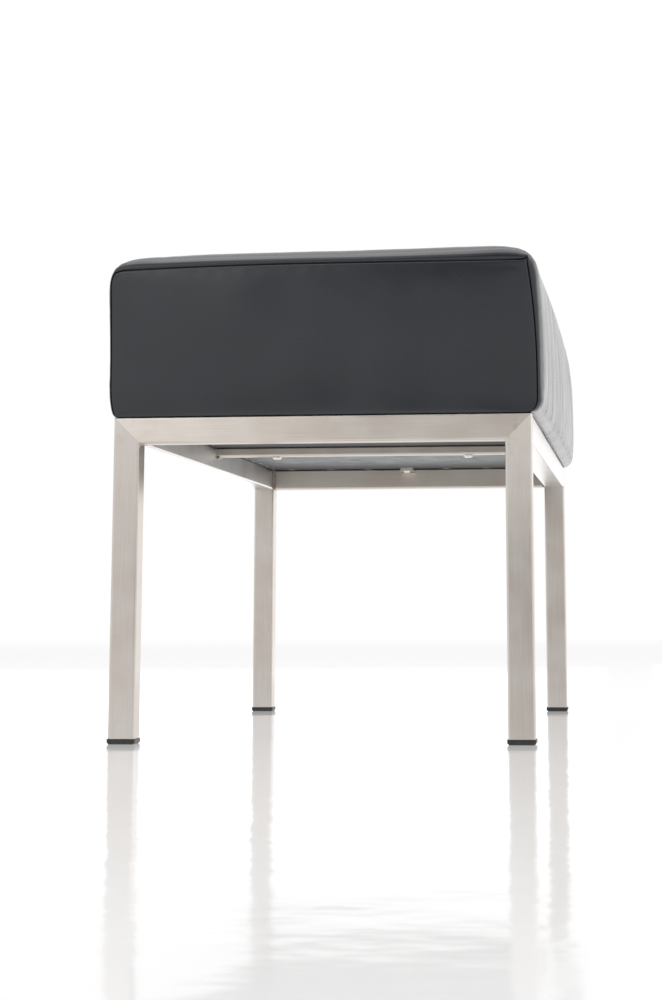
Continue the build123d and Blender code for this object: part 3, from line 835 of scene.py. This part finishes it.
def undersideStaples():
    # one row along each rail: centres an equal pitch apart, each crown a flattened capsule
    s = staples
    reach = {"X": s["halfLength"] - s["inset"], "Y": s["halfDepth"] - s["inset"]}
    centres, angles = [], []
    for letter, other, corner in (("X", "Y", s["cornerX"]), ("Y", "X", s["cornerY"])):
        count = int(2 * reach[letter] / s["pitch"])
        places = np.linspace(corner - reach[letter], reach[letter] - corner, count)
        places = places[np.abs(places) > s["barClear"]]
        for side in (-1, 1):
            spot = np.stack((places, np.full(len(places), side * reach[other])), axis=1)
            centres.append(spot if letter == "X" else spot[:, ::-1])
            angles.append(np.full(len(places), 0 if letter == "X" else np.pi / 2))
    centres = np.concatenate(centres)
    centres = centres + rng.uniform(-s["wander"], s["wander"], centres.shape)
    angles = np.concatenate(angles) + rng.uniform(-s["tilt"], s["tilt"], len(centres))
    level = np.full(len(centres), s["level"] - s["thickness"] * s["drop"])
    runs = np.column_stack((np.cos(angles), np.sin(angles), 0 * angles))
    ups = np.tile((0.0, 0.0, 1.0), (len(centres), 1))
    return capsules(np.column_stack((centres, level)), runs, ups, s["crown"] / 2, s["thickness"], s["flat"])


coverStaples = meshPiece("coverStaples", *undersideStaples(), stapleSteel)
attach(coverStaples, "root")
print("staples made:", len(coverStaples.data.polygons), "faces")


studio = {
    "floorSize": 60.0,
    "floorIor": 1.115,  # a thin gloss, strong only at the low angle of the photo
    "floorRoughness": 0.085,
    "rippleLength": 110.0, "rippleHeight": 0.9,  # slow unevenness of the floor
    "shadowShare": 0.17,  # how much of the floor's own light shows the shadow
    "shadowFades": (1.2, 4.0),  # distances over which that share fades away, in metres
    "glossFades": (4.0, 12.0),  # the same for the gloss, so that no horizon shows
    "ambient": 0.8,
}


def seenRays(tree):  # 1 on rays that show something, 0 on those that only light the bench
    rays = addNode(tree, "LightPath")
    seen = addNode(tree, "Math", {"operation": "MAXIMUM"}, {},
                   {0: rays.outputs["Is Camera Ray"], 1: rays.outputs["Is Glossy Ray"]})
    return addNode(tree, "Math", {"operation": "MAXIMUM"}, {},
                   {0: seen, 1: rays.outputs["Is Transmission Ray"]})


def polishedFloor():
    # white polished screed: pale reflections that waver with its slight unevenness
    material, tree, place = newMaterial("polishedWhiteFloor")
    ripples = addNode(tree, "TexNoise", values={"Scale": 1000 / studio["rippleLength"], "Detail": 3.0},
                      links={"Vector": place})
    relief = addNode(tree, "Bump", values={"Distance": studio["rippleHeight"] * mm},
                     links={"Height": ripples})
    reach = addNode(tree, "VectorMath", {"operation": "LENGTH"}, {}, {0: place}).outputs["Value"]
    near, far = studio["shadowFades"]
    white = addNode(tree, "MapRange", {"interpolation_type": "SMOOTHSTEP"},
                    spans(near, far, 1 - studio["shadowShare"], 1.0), {"Value": reach})
    share = addNode(tree, "Math", {"operation": "MULTIPLY"}, {}, {0: seenRays(tree), 1: white})
    matt = addNode(tree, "BsdfDiffuse", values={"Color": hexColour("#fafafa")})
    glow = addNode(tree, "Emission", values={"Color": hexColour("#ffffff")})
    ground = addNode(tree, "MixShader", links={0: share, 1: matt, 2: glow})
    mirror = addNode(tree, "BsdfGlossy",
                     values={"Color": hexColour("#ffffff"), "Roughness": studio["floorRoughness"]},
                     links={"Normal": relief})
    edge = addNode(tree, "Fresnel", values={"IOR": studio["floorIor"]})
    near, far = studio["glossFades"]
    polish = addNode(tree, "MapRange", {"interpolation_type": "SMOOTHSTEP"}, spans(near, far, 1.0, 0.0),
                     {"Value": reach})
    gloss = addNode(tree, "Math", {"operation": "MULTIPLY"}, {}, {0: edge, 1: polish})
    shader = addNode(tree, "MixShader", links={0: gloss, 1: ground, 2: mirror})
    return finishMaterial(material, shader)


half = studio["floorSize"] / 2 / mm
floorCorners = np.array(((-half, -half, 0), (half, -half, 0), (half, half, 0), (-half, half, 0)))
studioFloor = meshPiece("studioFloor", floorCorners, [[0, 1, 2, 3]], polishedFloor(), smooth=False)

world = bpy.data.worlds.new("studioWorld")
world.use_nodes = True
scene.world = world
tree = world.node_tree
tree.nodes.clear()
ambient = addNode(tree, "Background", values={"Color": hexColour("#ffffff"), "Strength": studio["ambient"]})
backdrop = addNode(tree, "Background", values={"Color": hexColour("#ffffff")})
mixed = addNode(tree, "MixShader", links={0: seenRays(tree), 1: ambient, 2: backdrop})
addNode(tree, "OutputWorld", links={"Surface": mixed})

softboxes = {  # place, what it faces, width and height, watts
    "overheadSoftbox": ((0.0, 0.0, 2.7), (0, 0, 0.4), (2.4, 2.4), 26.0),
    "leftSoftbox": ((-3.0, 1.15, 1.75), (-0.4, 0, 0.35), (1.2, 0.9), 4.0),
    "rightSoftbox": ((1.6, -2.6, 1.2), (0, 0, 0.3), (1.6, 1.6), 7.0),
    "lowSoftbox": ((-1.7, -0.1, 0.05), (-0.4, 0.0, 0.25), (1.4, 0.1), 0.1),
    "behindSoftbox": ((3.0, -1.2, 0.8), (0.4, -0.2, 0.4), (2.0, 1.6), 4.2),
    "behindLowSoftbox": ((3.2, 0.6, 0.25), (0, 0.1, 0.25), (1.6, 0.45), 1.3),
    "floorSoftbox": ((2.3, 0.1, 0.02), (2.3, 0.1, 1.0), (2.4, 1.8), 8.0),
}
for boxName, (place, target, size, power) in softboxes.items():
    data = bpy.data.lights.new(boxName, "AREA")
    data.shape = "RECTANGLE"
    data.size, data.size_y = size
    data.energy = power
    lamp = bpy.data.objects.new(boxName, data)
    lamp.location = place
    lamp.rotation_mode = "QUATERNION"
    lamp.rotation_quaternion = (Vector(target) - Vector(place)).to_track_quat("-Z", "Y")
    lamp.visible_camera = False
    scene.collection.objects.link(lamp)
bpy.data.lights["behindSoftbox"].color = (1.0, 0.95, 0.93)  # a little warmer

# cards that only reflections see: they give the steel and the end panel facing them their tone
greyCards = {  # left, right, bottom, top and tone
    "upperCard": (0.6, -0.6, 1.15, 3.2, "#6a6866"),
    "lowerCard": (0.5, -2.2, 0.0, 0.36, "#666462"),
    "lowerLeftCard": (2.6, 0.52, 0.0, 0.36, "#efecea"),
}
cardPlace = -3.4  # where they stand along the bench, in metres
for cardName, (left, right, bottom, top, tone) in greyCards.items():
    material, tree, _ = newMaterial(cardName)
    glow = addNode(tree, "Emission", values={"Color": hexColour(tone)})
    finishMaterial(material, glow)
    corners = [(cardPlace, y, z) for y, z in ((right, bottom), (left, bottom), (left, top), (right, top))]
    card = meshPiece(cardName, np.array(corners) / mm, [[0, 1, 2, 3]], material, smooth=False)
    for rays in ("camera", "diffuse", "shadow", "transmission"):
        setattr(card, "visible_" + rays, False)
scene.view_settings.view_transform = "Standard"
print("studio ready")
